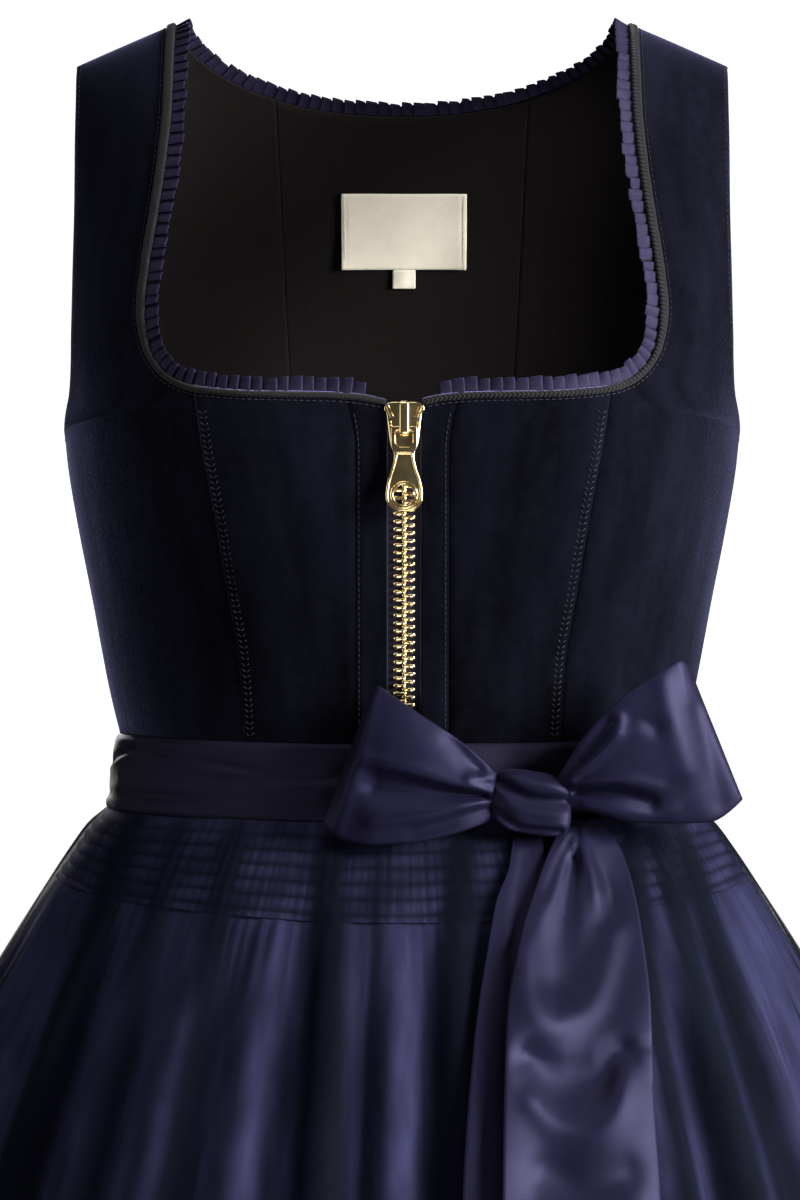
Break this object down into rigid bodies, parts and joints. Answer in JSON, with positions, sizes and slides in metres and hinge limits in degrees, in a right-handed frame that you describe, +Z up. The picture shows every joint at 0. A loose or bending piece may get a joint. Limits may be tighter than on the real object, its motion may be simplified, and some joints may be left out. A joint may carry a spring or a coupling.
{
  "type": "dirndl",
  "caption": "Sleeveless velvet dirndl, hollow as worn, with a square pleated neck, front zip, full gathered skirt, smocked apron under net and a satin sash tied in a bow.",
  "frame": {"origin": "midway between the tops of the two shoulder straps, at the straps' inner top edges, where the wearer's shoulders hold the dress", "axes": "+Z up, +X towards the viewer's right when looking at the front, the front faces -Y"},
  "size_m": [0.733, 0.6625, 1.0182],
  "materials": {
    "velvet": "matt pile velvet, blackish navy",
    "lining": "matt brown-black lining",
    "satin": "glossy satin, violet navy",
    "ruche": "satin in small pleats, violet navy",
    "braid": "matt narrow braid",
    "net": "fine sheer net, dark blue green",
    "skirt": "matt dark navy cloth",
    "tape": "matt woven tape",
    "brass": "polished",
    "label": "smooth woven label, cream"
  },
  "bodies": {
    "garment": {"front_side_right": "velvet", "front_side_left": "velvet", "back_side_right": "velvet", "back_side_left": "velvet", "front_centre_right": "velvet", "front_centre_left": "velvet", "zip_placket_right": "velvet", "zip_placket_left": "velvet", "back_centre": "velvet", "lining_right": "lining", "lining_left": "lining", "lining_centre": "lining", "apron_smocking": "satin", "apron_satin": "satin", "sash": "satin", "bow_loop_left": "satin", "bow_loop_right": "satin", "bow_knot": "satin", "tie_end_back": "satin", "tie_end_front": "satin", "neck_ruche": "ruche", "neck_binding": "braid", "apron_net": "net", "skirt_front": "skirt", "skirt_back_right": "skirt", "skirt_back_left": "skirt", "zip_tape_right": "tape", "zip_tape_left": "tape", "zip_slider": "brass", "label": "label", "size_tab": "label"},
    "pull": {"zip_pull": "brass"}
  },
  "joints": [
    {"name": "zip_pull_swing", "type": "hinge", "parent": "garment", "child": "pull", "pos_m": [0.0009, -0.12199, -0.20049], "axis": [-1, 0, 0], "range_deg": [0, 150]}
  ]
}
